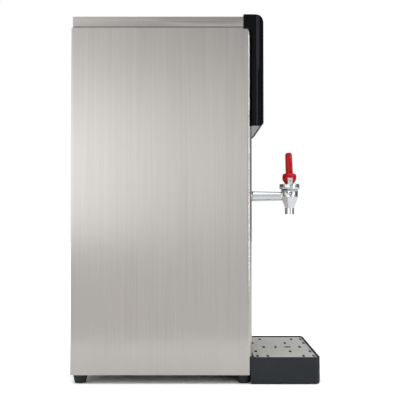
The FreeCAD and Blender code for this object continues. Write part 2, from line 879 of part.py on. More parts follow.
def fascia_fittings():
    window = new_body("display_window")
    pad(window, "XZ", "window_skin", "window_skin + window_thickness",
        rectangle("-(window_wide) / 2", "window_middle - window_tall / 2",
                  "window_wide / 2", "window_middle + window_tall / 2", "window_corner"))
    pad(window, "XZ", "window_skin + window_thickness", "window_back",
        rectangle("-(window_wide) / 2 - window_ledge", "window_middle - window_tall / 2 - window_ledge",
                  "window_wide / 2 + window_ledge", "window_middle + window_tall / 2 + window_ledge",
                  "window_corner"))
    keep("display_window", window)
    lamps = [rod("lamp_%d" % i, "y", place, "window_skin", "lamp_middle", "lamp_radius",
                 "board_face - (window_skin)")
             for i, place in enumerate(lamp_places())]
    keep("indicator_lights", group("indicator_lights", lamps))
    cap = rod("key_cap", "y", 0, "window_skin - key_proud", "key_middle", "key_radius",
              "board_face - switch_rise - (window_skin) + key_proud")
    keep("power_button", cap)
    board = block("display_board", "-(display_board_wide) / 2", "board_face",
                  "key_middle - display_board_margin", "display_board_wide", "board_thickness",
                  "window_middle + window_tall / 2 - (key_middle) + display_board_margin")
    switch = rod("key_switch", "y", 0, "board_face - switch_rise + key_travel + fit_gap",
                 "key_middle", "switch_radius", "switch_rise - key_travel - fit_gap")
    screen = block("display_screen", "-(window_wide) / 2 + screen_margin",
                   "window_back + fit_gap", "window_middle - window_tall / 2 + screen_margin",
                   "window_wide - 2 * screen_margin", "board_face - (window_back) - fit_gap",
                   "window_tall - 2 * screen_margin")
    edge = "display_board_edge"
    posts = [rod("board_post_%d" % i, "y", "%s * (display_board_wide / 2 - %s)" % (side, edge),
                 "board_face + board_thickness", height, "standoff_radius",
                 "front_face - (board_face) - board_thickness")
             for i, (side, height) in enumerate(
                 (side, height) for side in (-1, 1)
                 for height in ("key_middle - 2 * %s" % edge,
                                "window_middle + window_tall / 2 - %s" % edge))]
    keep("display_board", fuse("display_board_all", board, switch, screen))
    keep("display_posts", group("display_posts", posts))


# Drip tray and its lift-out grid

def drip_tray():
    body = new_body("drip_tray")
    half = "tray_half"
    pad(body, "XY", "tray_floor_gap", "tray_rim", [
        ("-(%s)" % half, "front_face + tray_wrap"),
        ("-(%s)" % half, "tray_front", "tray_corner"),
        (half, "tray_front", "tray_corner"),
        (half, "front_face + tray_wrap")])
    low = number("tray_floor_gap")
    back = number("front_face")
    dress_edges(body, "Fillet", lambda edge: edge.BoundBox.ZMax < low + 0.01
                and edge.BoundBox.YMin < back, Radius="tray_sole_round")
    wrap = "bend_radius + tray_clearance"
    pocket(body, "XY", "0", "tray_rim + 1", [
        ("-(half_width) - tray_clearance", "front_face + tongue_length"),
        ("-(half_width) - tray_clearance", "tray_back", wrap),
        ("half_width + tray_clearance", "tray_back", wrap),
        ("half_width + tray_clearance", "front_face + tongue_length")])
    basin = "tray_half - tray_wall - tray_ledge"
    pocket(body, "XY", "tray_floor_gap + tray_wall", "tray_rim + 1",
           rectangle("-(%s)" % basin, "tray_front + tray_wall + tray_ledge",
                     basin, "tray_back - tray_wall - tray_ledge", "tray_corner - tray_wall"))
    seat = "tray_half - tray_wall"
    pocket(body, "XY", "grid_base", "tray_rim + 1",
           rectangle("-(%s)" % seat, "tray_front + tray_wall", seat, "tray_back - tray_wall",
                     "tray_corner - tray_wall"))
    pad(body, "XY", "tongue_top - tongue_thickness", "tongue_top",
        rectangle("-(tongue_width) / 2", "tray_back - tray_wall", "tongue_width / 2",
                  "front_face + tongue_length"))
    keep("drip_tray", body)


# How far from the case each row's slots stand, as shares of the tray's reach
SLOT_SHARES = {
    "slot_row_far": (0.095, 0.248, 0.782, 0.936),
    "slot_row_near": (0.095, 0.628, 0.936),
}
MIDDLE_SHARES = (0.248, 0.438, 0.825)


def slot_places():
    """Drain slots of the grid: two rows on each side, and the middle row."""
    places = [("0", share) for share in MIDDLE_SHARES]
    for row, shares in SLOT_SHARES.items():
        for side in ("-(%s)", "%s"):
            places += [(side % row, share) for share in shares]
    return places


def drip_grid():
    half = "tray_half - tray_wall - grid_clearance"
    plate = new_body("drip_grid")
    pad(plate, "XY", "grid_base", "grid_top",
        rectangle("-(%s)" % half, "tray_front + tray_wall + grid_clearance",
                  half, "tray_back - tray_wall - grid_clearance", "tray_corner - tray_wall"))
    for across, share in slot_places():
        middle = "front_face - tray_reach * %s" % share
        pocket(plate, "XY", "grid_base", "grid_top",
               eased(rectangle(
                   "%s - grid_slot_long / 2" % across, "%s - grid_slot_wide / 2" % middle,
                   "%s + grid_slot_long / 2" % across, "%s + grid_slot_wide / 2" % middle,
                   "grid_slot_round")))
    pocket(plate, "XY", "grid_base", "grid_top",
           circles=[(0, "front_face - finger_hole_reach", "finger_hole_radius")])
    keep("drip_grid", plate)


# Tap

def tap():
    spun = turned("tap_spun", eased([
        ("nozzle_bore", "nozzle_tip"),
        ("nozzle_radius", "nozzle_tip"),
        ("nozzle_radius", "nozzle_tip + nozzle_length", "nozzle_round"),
        ("tap_body_radius", "tap_height - tap_body_drop", "tap_body_round"),
        ("tap_body_radius", "bonnet_base"),
        ("tap_neck_radius", "bonnet_base"),
        ("tap_neck_radius", "neck_top"),
        ("tap_chamber_radius", "neck_top"),
        ("tap_chamber_radius", "seat_top - seat_well"),
        ("nozzle_bore + seat_wall", "seat_top - seat_well"),
        ("nozzle_bore + seat_wall", "seat_top"),
        ("nozzle_bore", "seat_top"),
    ], 4), 0, "tap_line", 0)
    shank = cone("tap_shank", "y", 0, "tap_line", "tap_height", "shank_radius",
                 "shank_root_radius", "tap_reach - washer_thickness")
    tail = rod("tap_tail", "y", 0, "front_face - washer_thickness", "tap_height",
               "shank_tail_radius", "washer_thickness + tank_front_gap")
    room = rod("tap_room", "z", 0, "tap_line", "seat_top - seat_well", "tap_chamber_radius",
               "neck_top - (seat_top) + seat_well")
    bore = rod("tap_bore", "y", 0, "tap_line", "tap_height + shank_bore_rise", "shank_bore",
               "tap_reach + tank_front_gap + 1")
    seat = turned("tap_seat", [
        ("nozzle_bore", "seat_top - seat_depth"),
        ("nozzle_bore + seat_wall", "seat_top - seat_depth"),
        ("nozzle_bore + seat_wall", "seat_top"),
        ("nozzle_bore", "seat_top"),
    ], 0, "tap_line", 0)
    solid = cut("tap_hollow", fuse("tap_outer", spun, shank, tail), room, bore)
    keep("tap_body", fuse("tap_whole", solid, seat))

    keep("shank_washer", cut("washer_ring",
                             rod("washer_disc", "y", 0, "front_face - washer_thickness",
                                 "tap_height", "washer_radius", "washer_thickness"),
                             rod("washer_hole", "y", 0, "front_face - washer_thickness - 1",
                                 "tap_height", "shank_tail_radius", "washer_thickness + 2")))
    nut = doc.addObject("Part::Prism", "nut_hexagon")
    nut.Polygon = 6
    nut.Placement = Placement(Vector(), TURNS["y"])
    bind(nut, Circumradius="nut_flats / 2 / cos(30)", Height="nut_thickness")
    stand(nut, 0, "inner_front", "tap_height")
    keep("shank_nut", cut("nut_ring", nut,
                          rod("nut_hole", "y", 0, "inner_front - 1", "tap_height",
                              "shank_tail_radius", "nut_thickness + 2")))

    keep("tap_bonnet", turned("tap_bonnet", eased([
        ("tap_neck_radius + thread_clearance", "bonnet_base"),
        ("bonnet_radius", "bonnet_base", "bonnet_round"),
        ("bonnet_radius", "bonnet_top", "bonnet_round"),
        ("stem_radius + stem_clearance", "bonnet_top"),
        ("stem_radius + stem_clearance", "bonnet_under"),
        ("tap_neck_radius + thread_clearance", "bonnet_under"),
    ]), 0, "tap_line", 0))

    spun_stem = turned("stem_spun", [
        (0, "seat_cup_top - stem_socket"),
        ("stem_radius", "seat_cup_top - stem_socket"),
        ("stem_radius", "stem_collar_height"),
        ("stem_collar_radius", "stem_collar_height"),
        ("stem_collar_radius", "stem_collar_top"),
        ("stem_radius", "stem_collar_top"),
        ("stem_radius", "pin_height"),
        (0, "pin_height"),
    ], 0, "tap_line", 0)
    eye = rod("stem_eye", "x", "-(stem_tongue_thick) / 2", "tap_line", "pin_height",
              "stem_radius", "stem_tongue_thick")
    beside = "stem_tongue_thick / 2"
    flats = [block("stem_flat_%d" % i, x, "tap_line - 2 * stem_radius",
                   "bonnet_top - stem_lift", "stem_radius", "4 * stem_radius",
                   "2 * pin_rise + stem_lift")
             for i, x in enumerate((beside, "-(%s) - stem_radius" % beside))]
    pin_hole = rod("stem_pin_hole", "x", "-(handle_radius)", "tap_line", "pin_height",
                   "pin_radius + pin_clearance", "2 * handle_radius")
    keep("tap_stem", cut("stem_finished", fuse("stem_solid", spun_stem, eye), pin_hole, *flats))

    keep("seat_cup", turned("seat_cup", [
        (0, "seat_top"),
        ("seat_cup_radius - seat_cup_lip", "seat_top"),
        ("seat_cup_radius", "seat_top + seat_cup_band"),
        ("stem_radius + seat_wall", "seat_cup_top"),
        ("stem_radius", "seat_cup_top"),
        ("stem_radius", "seat_cup_top - stem_socket"),
        (0, "seat_cup_top - stem_socket"),
    ], 0, "tap_line", 0))

    coil = rod("spring_outer", "z", 0, "tap_line", "stem_collar_top", "spring_radius",
               "bonnet_under - (stem_collar_top)")
    core = rod("spring_core", "z", 0, "tap_line", "stem_collar_height",
               "spring_radius - spring_wire", "bonnet_top - (stem_collar_height)")
    keep("tap_spring", cut("tap_spring", coil, core))


def tap_handle():
    """Red lever: a rounded foot that cams on the bonnet, with a paddle above it."""
    foot = turned("handle_foot", eased([
        (0, "bonnet_top + handle_gap"),
        ("handle_sole_radius", "bonnet_top + handle_gap"),
        ("handle_radius", "pin_height + handle_heel_rise", "handle_heel_round"),
        ("handle_radius", "handle_shoulder", "handle_shoulder_round"),
        (0, "handle_shoulder"),
    ], 3), 0, "tap_line", 0)
    paddle = new_body("handle_paddle")
    half = "handle_wide / 2"
    pad(paddle, "YZ", "-(%s)" % half, half, [
        ("tap_line - handle_thick / 2", "handle_shoulder - handle_root"),
        ("tap_line + handle_thick / 2", "handle_shoulder - handle_root"),
        ("tap_line + handle_lean + handle_tip_thick / 2", "handle_top", "handle_tip_round"),
        ("tap_line + handle_lean - handle_tip_thick / 2", "handle_top", "handle_tip_round")])
    shoulder = number("handle_shoulder")
    dress_edges(paddle, "Chamfer", lambda edge: edge.BoundBox.ZMax > shoulder, Size="handle_edge")
    slot = block("handle_slot", "-(stem_tongue_thick) / 2 - handle_slot_clearance",
                 "tap_line - 2 * handle_radius", "bonnet_top - 1",
                 "stem_tongue_thick + 2 * handle_slot_clearance",
                 "2 * handle_radius + stem_radius + handle_slot_clearance",
                 "pin_rise + stem_radius + handle_slot_clearance + 1")
    pin_hole = rod("handle_pin_hole", "x", "-(handle_radius) - 1", "tap_line", "pin_height",
                   "pin_radius", "2 * handle_radius + 2")
    recesses = [block("handle_recess_%d" % i, x, "tap_line - bush_half", "bonnet_top",
                      "2 * bush_depth", "2 * bush_half", "pin_rise + bush_rise")
                for i, x in enumerate(("-(handle_radius) - bush_depth", "handle_radius - bush_depth"))]
    keep("tap_handle", cut("handle_whole", fuse("handle_solid", foot, paddle), slot, pin_hole,
                           *recesses))
    bushes = []
    for i, x in enumerate(("-(handle_radius) + bush_sink", "handle_radius - bush_depth")):
        plate = block("bush_plate_%d" % i, x, "tap_line - bush_half",
                      "bonnet_top + handle_gap", "bush_depth - bush_sink", "2 * bush_half",
                      "pin_rise - handle_gap + bush_rise")
        hole = rod("bush_hole_%d" % i, "x", "%s - 1" % x, "tap_line", "pin_height",
                   "pin_radius", "2 * bush_depth")
        bushes.append(cut("bush_%d" % i, plate, hole))
    keep("handle_bushes", group("handle_bushes", bushes))
    keep("handle_pin", rod("handle_pin", "x", "-(handle_radius) + pin_sink", "tap_line",
                           "pin_height", "pin_radius", "2 * (handle_radius - pin_sink)"))


# Boiling tank and what is fitted to it

def rounded_plan(half, front, back, radius):
    return rectangle("-(%s)" % half, front, half, back, radius)


def tank():
    body = new_body("tank")
    half = "tank_width / 2"
    pad(body, "XY", "tank_bottom_height", "tank_top",
        rounded_plan(half, "tank_front", "tank_back", "tank_corner"))
    pocket(body, "XY", "tank_bottom_height + tank_wall", "tank_top + 1",
           rounded_plan("%s - tank_wall" % half, "tank_front + tank_wall",
                        "tank_back - tank_wall", "tank_corner - tank_wall"))
    pocket(body, "XZ", "tank_front - 1", "tank_front + tank_wall + 1",
           circles=[(0, "tap_height", "shank_tail_radius")])
    pocket(body, "XZ", "tank_back - tank_wall - 1", "tank_back + 1",
           circles=[(0, "element_height", "element_neck_radius"),
                    ("sensor_offset", "element_height", "sensor_radius"),
                    ("-(overflow_offset)", "outlet_height", "pipe_radius")])
    pocket(body, "XY", "tank_bottom_height - 1", "tank_bottom_height + tank_wall + 1",
           circles=[(0, "tank_middle", "pipe_radius"),
                    ("drain_offset", "tank_middle", "pipe_radius")])
    keep("tank", body)

    seal = new_body("tank_seal")
    pad(seal, "XY", "tank_top", "tank_top + tank_seal",
        rounded_plan(half, "tank_front", "tank_back", "tank_corner"))
    pocket(seal, "XY", "tank_top", "tank_top + tank_seal",
           rounded_plan("%s - tank_flange" % half, "tank_front + tank_flange",
                        "tank_back - tank_flange", "tank_corner - tank_flange"))
    keep("tank_seal", seal)

    cover = new_body("tank_lid")
    pad(cover, "XY", "tank_top + tank_seal", "tank_top + tank_seal + tank_lid_thickness",
        rounded_plan(half, "tank_front", "tank_back", "tank_corner"))
    pocket(cover, "XY", "tank_top", "tank_top + 2 * tank_seal + tank_lid_thickness",
           circles=[(place, "tank_middle", "probe_radius + probe_collar") for place in probe_places()])
    keep("tank_lid", cover)

    jacket = new_body("tank_jacket")
    pad(jacket, "XY", "tank_bottom_height - jacket_thickness", "tank_top",
        rounded_plan("jacket_half", "jacket_front", "jacket_back", "tank_corner + jacket_thickness"))
    pocket(jacket, "XY", "tank_bottom_height", "tank_top + 1",
           rounded_plan(half, "tank_front", "tank_back", "tank_corner"))
    pocket(jacket, "XZ", "jacket_front - 1", "tank_front + 1",
           circles=[(0, "tap_height", "shank_tail_radius + 1")])
    pocket(jacket, "XZ", "tank_back - jacket_recess", "jacket_back + 1",
           circles=[(0, "element_height", "element_head_radius + 2 * sheet_gauge"),
                    ("sensor_offset", "element_height", "sensor_radius + fit_gap"),
                    ("cutout_offset", "element_height", "cutout_radius + fit_gap"),
                    ("-(overflow_offset)", "outlet_height", "pipe_radius + pipe_clearance")])
    pocket(jacket, "XY", "tank_bottom_height - jacket_thickness - 1", "tank_bottom_height + 1",
           circles=[(0, "tank_middle", "pipe_radius + pipe_clearance"),
                    ("drain_offset", "tank_middle", "pipe_radius + pipe_clearance")])
    keep("tank_jacket", jacket)

    shelf = new_body("tank_shelf")
    pad(shelf, "XY", "shelf_height", "shelf_height + sheet_gauge",
        rectangle("-(inner_half)", "inner_front + bend_radius", "inner_half", "panel_inside"))
    for low, high in (("-(inner_half)", "sheet_gauge - inner_half"),
                      ("inner_half - sheet_gauge", "inner_half")):
        pad(shelf, "XY", "shelf_height - shelf_lip", "shelf_height",
            rectangle(low, "inner_front + bend_radius", high, "panel_inside"))
    pocket(shelf, "XY", "shelf_height - 1", "shelf_height + 2",
           circles=[(0, "tank_middle", "pipe_radius + pipe_clearance"),
                    ("drain_offset", "tank_middle", "pipe_radius + pipe_clearance"),
                    ("-(overflow_offset)", "overflow_line", "pipe_radius + pipe_clearance")])
    keep("tank_shelf", shelf)


def probe_places():
    return ["-(probe_spacing)", 0, "probe_spacing"]


def tank_fittings():
    head = "tank_back"
    disc = rod("element_disc", "y", 0, head, "element_height", "element_head_radius",
               "element_head_thick")
    plug = rod("element_plug", "y", 0, "tank_back - tank_wall", "element_height",
               "element_neck_radius", "tank_wall")
    legs = [rod("element_leg_%d" % i, "y", "%s * element_spacing / 2" % side,
                "tank_back - tank_wall - element_reach", "element_height", "element_radius",
                "element_reach") for i, side in enumerate((-1, 1))]
    bend = doc.addObject("Part::Torus", "element_bend")
    bend.Angle3 = 180
    bend.Placement = Placement(Vector(), Rotation(Vector(0, 0, 1), 180))
    bind(bend, Radius1="element_spacing / 2", Radius2="element_radius")
    stand(bend, 0, "tank_back - tank_wall - element_reach", "element_height")
    keep("heating_element", fuse("heating_element", disc, plug, bend, *legs))
    posts = [rod("element_post_%d" % i, "y", "%s * element_spacing / 2" % side,
                 "tank_back + element_head_thick", "element_height", "terminal_radius",
                 "terminal_length")
             for i, side in enumerate((-1, 1))]
    keep("element_terminals", group("element_terminals", posts))

    probes = []
    for i, place in enumerate(probe_places()):
        needle = rod("probe_rod_%d" % i, "z", place, "tank_middle",
                     "tank_bottom_height + probe_low + %d * probe_step" % i, "probe_radius",
                     "tank_height + tank_seal + tank_lid_thickness + probe_rise - probe_low"
                     " - %d * probe_step" % i)
        collar = rod("probe_collar_%d" % i, "z", place, "tank_middle", "tank_top + tank_seal",
                     "probe_radius + probe_collar", "tank_lid_thickness + probe_collar_rise")
        probes.append(fuse("probe_%d" % i, needle, collar))
    keep("level_probes", group("level_probes", probes))

    sheath = rod("sensor_sheath", "y", "sensor_offset", "tank_back - sensor_reach",
                 "element_height", "sensor_radius", "sensor_reach + sensor_tail")
    keep("temperature_probe", sheath)
    keep("thermal_cutout", rod("thermal_cutout", "y", "cutout_offset", "tank_back",
                               "element_height", "cutout_radius", "jacket_thickness"))

    rise = pipe_piece("feed_rise", "z", 0, "tank_middle", "inlet_height",
                      "tank_bottom_height + tank_wall - (inlet_height)")
    run = pipe_piece("feed_run", "y", 0, "tank_middle", "inlet_height",
                     "valve_front - (tank_middle)")
    keep("feed_pipe", pipe("feed_pipe", [rise, run], [(0, "tank_middle", "inlet_height")]))

    fall = pipe_piece("drain_fall", "z", "drain_offset", "tank_middle", "drain_height",
                      "tank_bottom_height + tank_wall - drain_height")
    leave = pipe_piece("drain_leave", "y", "drain_offset", "tank_middle", "drain_height",
                       "rear_face + inlet_reach / 2 - (tank_middle)")
    keep("drain_pipe", pipe("drain_pipe", [fall, leave],
                            [("drain_offset", "tank_middle", "drain_height")]))
    cap = rod("drain_cap", "y", "drain_offset", "rear_face + sheet_gauge", "drain_height",
              "drain_radius + drain_cap_wall", "inlet_reach / 2 + sheet_gauge")
    cap_room = rod("drain_cap_room", "y", "drain_offset", "rear_face", "drain_height",
                   "pipe_radius", "inlet_reach / 2")
    keep("drain_plug", cut("drain_plug", cap, cap_room))

    side = "-(overflow_offset)"
    fall = pipe_piece("overflow_fall", "z", side, "overflow_line", "overflow_height",
                      "outlet_height - overflow_height")
    leave = pipe_piece("overflow_leave", "y", side, "tank_back - tank_wall",
                       "outlet_height", "overflow_line - (tank_back) + tank_wall")
    spout = pipe_piece("overflow_spout", "y", side, "overflow_line", "overflow_height",
                       "rear_face + inlet_reach - (overflow_line) - overflow_setback")
    run = pipe("overflow_run", [fall, leave, spout], [(side, "overflow_line", "outlet_height"),
                                                      (side, "overflow_line", "overflow_height")])
    sleeve = cut("overflow_sleeve",
                 rod("overflow_end", "y", side, "rear_face - sheet_gauge", "overflow_height",
                     "overflow_radius", "inlet_reach + sheet_gauge - overflow_setback"),
                 rod("overflow_end_bore", "y", side, "rear_face - 2 * sheet_gauge",
                     "overflow_height", "pipe_bore", "2 * inlet_reach"))
    keep("overflow_pipe", fuse("overflow_pipe", run, sleeve))


def pipe_piece(name, axis, x, y, z, length):
    """A straight stretch of pipe, as its outer rod and its bore."""
    outer = rod(name, axis, x, y, z, "pipe_radius", length)
    inner = rod(name + "_bore", axis, x, y, z, "pipe_bore", length)
    return outer, inner


def pipe(name, stretches, elbows):
    """Stretches of pipe joined at round elbows and bored through."""
    outers = [outer for outer, _ in stretches]
    inners = [inner for _, inner in stretches]
    for i, corner in enumerate(elbows):
        for radius, pile in (("pipe_radius", outers), ("pipe_bore", inners)):
            elbow = doc.addObject("Part::Sphere", "%s_elbow_%d_%s" % (name, i, radius))
            bind(elbow, Radius=radius)
            pile.append(stand(elbow, *corner))
    return cut(name, fuse(name + "_outer", *outers), *inners)


# Water inlet and its solenoid valve

def water_inlet():
    shoulder = rod("inlet_shoulder", "y", 0, "rear_face - sheet_gauge", "inlet_height",
                   "inlet_flange", "inlet_flange_thickness")
    whole = "rear_face + inlet_reach - (panel_inside) + inlet_tail"
    thread = rod("inlet_thread", "y", 0, "panel_inside - inlet_tail", "inlet_height",
                 "inlet_radius", whole)
    way = rod("inlet_way", "y", 0, "panel_inside - inlet_tail - 1", "inlet_height",
              "inlet_bore", whole + " + 2")
    keep("water_inlet", cut("water_inlet", fuse("inlet_outer", shoulder, thread), way))
    ring = doc.addObject("Part::Prism", "inlet_nut_hexagon")
    ring.Polygon = 6
    ring.Placement = Placement(Vector(), TURNS["y"])
    bind(ring, Circumradius="inlet_flange", Height="inlet_nut_thickness")
    stand(ring, 0, "panel_inside - inlet_nut_thickness", "inlet_height")
    keep("inlet_nut", cut("inlet_nut", ring,
                          rod("inlet_nut_hole", "y", 0, "panel_inside - 2 * inlet_nut_thickness",
                              "inlet_height", "inlet_radius", "3 * inlet_nut_thickness")))
    body = block("valve_block", "-(valve_width) / 2", "valve_front",
                 "inlet_height - valve_tall / 2", "valve_width", "valve_width", "valve_tall")
    middle = "valve_front + valve_width / 2"
    neck = rod("valve_neck", "z", 0, middle, "valve_top", "valve_neck_radius",
               "valve_neck_height")
    keep("inlet_valve", fuse("inlet_valve", body, neck))
    keep("valve_coil", rod("valve_coil", "z", 0, middle, "valve_top + valve_neck_height",
                           "valve_coil_radius", "valve_coil_height"))


# Electrical pieces

def electrics():
    board_x = "inner_half - standoff_length - board_thickness"
    plate = block("board_plate", board_x, "board_front", "board_low", "board_thickness",
                  "board_width", "board_height")
    relays = [block("board_relay_%d" % i, "%s - relay_rise" % board_x,
                    "board_front + board_edge + %d * relay_pitch" % i,
                    "board_low + board_height - board_edge - relay_tall",
                    "relay_rise", "relay_deep", "relay_tall") for i in range(3)]
    coil = block("board_transformer", "%s - transformer_rise" % board_x,
                 "board_front + board_width - board_edge - transformer_deep",
                 "board_low + board_edge", "transformer_rise", "transformer_deep",
                 "transformer_tall")
    strip = block("board_terminals", "%s - strip_rise" % board_x, "board_front + board_edge",
                  "board_low + board_edge", "strip_rise", "strip_deep", "strip_tall")
    keep("control_board", fuse("control_board", plate, coil, strip, *relays))
    posts = [rod("board_standoff_%d" % i, "x", "%s + board_thickness" % board_x, y, z,
                 "standoff_radius", "standoff_length")
             for i, (y, z) in enumerate(
                 (y, z) for y in ("board_front + standoff_inset",
                                  "board_front + board_width - standoff_inset")
                 for z in ("board_low + standoff_inset",
                           "board_low + board_height - standoff_inset"))]
    keep("board_standoffs", group("board_standoffs", posts))
    keep("terminal_block", block("terminal_block", "terminal_block_gap - (inner_half)",
                                 "earth_line - terminal_block_deep / 2", "floor_top",
                                 "terminal_block_wide", "terminal_block_deep",
                                 "terminal_block_tall"))
    keep("earth_stud", rod("earth_stud", "z", "earth_stud_gap - (inner_half)", "earth_line",
                           "floor_top", "terminal_radius", "earth_stud_tall"))

    socket = new_body("power_inlet")
    across = ("socket_offset - socket_half", "socket_offset + socket_half")
    low = "socket_height - socket_tall / 2"
    high = "socket_height + socket_tall / 2"
    pad(socket, "XZ", "socket_bed", "rear_face - sheet_gauge",
        rectangle(across[0], low, across[1], high, "socket_corner"))
    pad(socket, "XZ", "rear_face - sheet_gauge", "rear_face - sheet_gauge + socket_flange",
        rectangle("%s - socket_rim" % across[0], "%s - socket_rim" % low,
                  "%s + socket_rim" % across[1], "%s + socket_rim" % high, "socket_rim"))
    pocket(socket, "XZ", "socket_bed + socket_floor", "rear_face + socket_flange",
           rectangle("%s + socket_side_wall" % across[0], "%s + socket_wall" % low,
                     "%s - socket_side_wall" % across[1], "%s - socket_wall" % high,
                     "socket_corner"))
    keep("power_inlet", socket)
    blades = [block("inlet_blade_%d" % i, "socket_offset + %s - blade_wide / 2" % x,
                    "socket_bed + socket_floor", "socket_height + %s - blade_tall / 2" % z,
                    "blade_wide", "blade_length", "blade_tall")
              for i, (x, z) in enumerate((("-(blade_spacing)", "-(blade_drop)"),
                                          ("0", "blade_rise"),
                                          ("blade_spacing", "-(blade_drop)")))]
    keep("inlet_blades", group("inlet_blades", blades))


# Screws

def screw(name, x, y, z, way):
    """A pan-head screw along Y; way is 1 where its point faces +Y."""
    head_y = "%s - screw_head_height" % y if way > 0 else y
    shank_y = y if way > 0 else "%s - screw_length" % y
    head = rod(name + "_head", "y", x, head_y, z, "screw_head_radius", "screw_head_height")
    shank = rod(name + "_shank", "y", x, shank_y, z, "screw_radius", "screw_length")
    return fuse(name, head, shank)


def screws():
    keep("rear_screws", group("rear_screws", [
        screw("rear_screw_%d" % i, x, "rear_face", z, -1)
        for i, (x, z) in enumerate(rear_screw_places())]))
    keep("lid_screws", group("lid_screws", [
        screw("lid_screw_%d" % i, x, "rear_face - sheet_gauge", z, -1)
        for i, (x, z) in enumerate(lid_screw_places())]))
    keep("fascia_screws", group("fascia_screws", [
        screw("fascia_screw_%d" % i, x, "inner_front", z, -1)
        for i, (x, z) in enumerate(boss_places())]))


for build in (body_shell, rear_panel, base_plate, feet, lid, fascia, fascia_fittings,
              drip_tray, drip_grid, tap, tap_handle, tank, tank_fittings, water_inlet,
              electrics, screws):
    build()

doc.recompute()

# Check every object, then write each sub-part

faults = [thing.Name for thing in doc.Objects
          if "Invalid" in thing.State or "Error" in thing.State]
faults += [name for name, thing in subparts.items()
           if thing.Shape.isNull() or not thing.Shape.isValid() or not thing.Shape.Solids]
if faults:
    raise RuntimeError("failed objects: " + ", ".join(faults))

os.makedirs("parts", exist_ok=True)
for name, thing in subparts.items():
    thing.Shape.exportStep("parts/%s.step" % name)
print(len(subparts), "sub-parts")
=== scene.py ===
import math

import bmesh
import bpy
from bpy.props import FloatProperty, FloatVectorProperty, PointerProperty
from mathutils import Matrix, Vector

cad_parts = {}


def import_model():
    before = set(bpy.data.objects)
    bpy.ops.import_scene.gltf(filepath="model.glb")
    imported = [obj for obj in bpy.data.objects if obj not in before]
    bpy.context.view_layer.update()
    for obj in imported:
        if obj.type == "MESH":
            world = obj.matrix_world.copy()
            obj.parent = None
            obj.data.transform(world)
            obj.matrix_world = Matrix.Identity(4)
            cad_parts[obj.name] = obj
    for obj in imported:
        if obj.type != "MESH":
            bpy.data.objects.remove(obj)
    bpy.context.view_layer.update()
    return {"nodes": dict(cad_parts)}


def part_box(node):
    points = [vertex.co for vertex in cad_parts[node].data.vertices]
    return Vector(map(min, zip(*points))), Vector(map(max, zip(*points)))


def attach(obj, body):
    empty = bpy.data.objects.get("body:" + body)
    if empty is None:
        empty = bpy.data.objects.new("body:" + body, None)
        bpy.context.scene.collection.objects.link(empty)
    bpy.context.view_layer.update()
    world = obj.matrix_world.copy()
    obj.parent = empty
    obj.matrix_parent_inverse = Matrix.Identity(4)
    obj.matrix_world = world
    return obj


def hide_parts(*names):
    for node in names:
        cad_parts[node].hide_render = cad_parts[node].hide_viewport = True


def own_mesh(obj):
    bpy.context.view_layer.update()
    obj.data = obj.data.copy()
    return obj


bl_info = {
    "name": "Hot water urn",
    "version": (1, 0, 0),
    "blender": (4, 5, 0),
    "location": "3D View > Sidebar > Urn",
    "description": "Dresses a countertop hot water urn with its finishes",
    "category": "Object",
}

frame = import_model()
MM = 0.001
FEET = ("foot_front_left", "foot_front_right", "foot_rear_left", "foot_rear_right")

# On a smooth copy, how near two corners are the same one, and what turn stays a sharp edge
MERGE_DISTANCE = MM / 1000
SHARP_ANGLE = math.radians(24)

# The values between which most of a noise pattern lies
PATTERN_LOW = 0.3
PATTERN_HIGH = 0.7

# How fast brush lines and their patches of gloss change along the lines, against across them
LINE_STRETCH = 0.004
PATCH_STRETCH = 0.06
BRUSH_ANISOTROPY = 0.85

# The sensor's width in millimetres, and the floor's reach in metres each way
SENSOR_WIDTH = 36
FLOOR_REACH = 6


# Sizes and colours that a user would change

class UrnSteel(bpy.types.PropertyGroup):
    colour: FloatVectorProperty(
        name="Steel colour", description="Colour of the brushed case",
        default=(0.60, 0.577, 0.550), min=0, max=1, size=3, subtype="COLOR")
    roughness: FloatProperty(
        name="Steel roughness", description="How soft the case's reflections are",
        default=0.22, min=0, max=1, subtype="FACTOR")
    grain: FloatProperty(
        name="Brush lines", description="Brush lines across a metre of steel",
        default=900, min=50, max=4000)


class UrnPlastics(bpy.types.PropertyGroup):
    moulding: FloatVectorProperty(
        name="Moulding colour", description="Colour of the gloss moulding",
        default=(0.0025, 0.0032, 0.0048), min=0, max=1, size=3, subtype="COLOR")
    tray: FloatVectorProperty(
        name="Tray colour", description="Colour of the drip tray",
        default=(0.021, 0.026, 0.030), min=0, max=1, size=3, subtype="COLOR")
    handle: FloatVectorProperty(
        name="Handle colour", description="Colour of the tap's lever",
        default=(0.60, 0.0025, 0.008), min=0, max=1, size=3, subtype="COLOR")


class UrnStage(bpy.types.PropertyGroup):
    lens: FloatProperty(
        name="Lens", description="Focal length of the camera on a 36 mm sensor",
        default=64.8, min=20, max=200)
    distance: FloatProperty(
        name="Camera distance", description="From the case's near side to the camera",
        default=1.167, min=0.2, max=5, unit="LENGTH")
    eye_height: FloatProperty(
        name="Camera height", description="Height of the camera over the floor",
        default=0.272, min=0, max=3, unit="LENGTH")
    eye_behind: FloatProperty(
        name="Camera set back", description="How far behind the case's front the camera stands",
        default=0.0844, min=-1, max=1, unit="LENGTH")
    tilt: FloatProperty(
        name="Camera tilt", description="How far the camera looks up",
        default=math.radians(1.26), min=-0.5, max=0.5, unit="ROTATION")


# Node-based finishes

def wire(tree, source, socket, target, name):
    """Joins a node's output socket to the named input of another."""
    tree.links.new(source.outputs[socket], target.inputs[name])


def shader_node(tree, kind, **values):
    """A shader node with the named settings; an underscore in an input's name is a space."""
    made = tree.nodes.new(kind)
    for name, value in values.items():
        if hasattr(made, name):
            setattr(made, name, value)
        else:
            made.inputs[name.replace("_", " ")].default_value = value
    return made


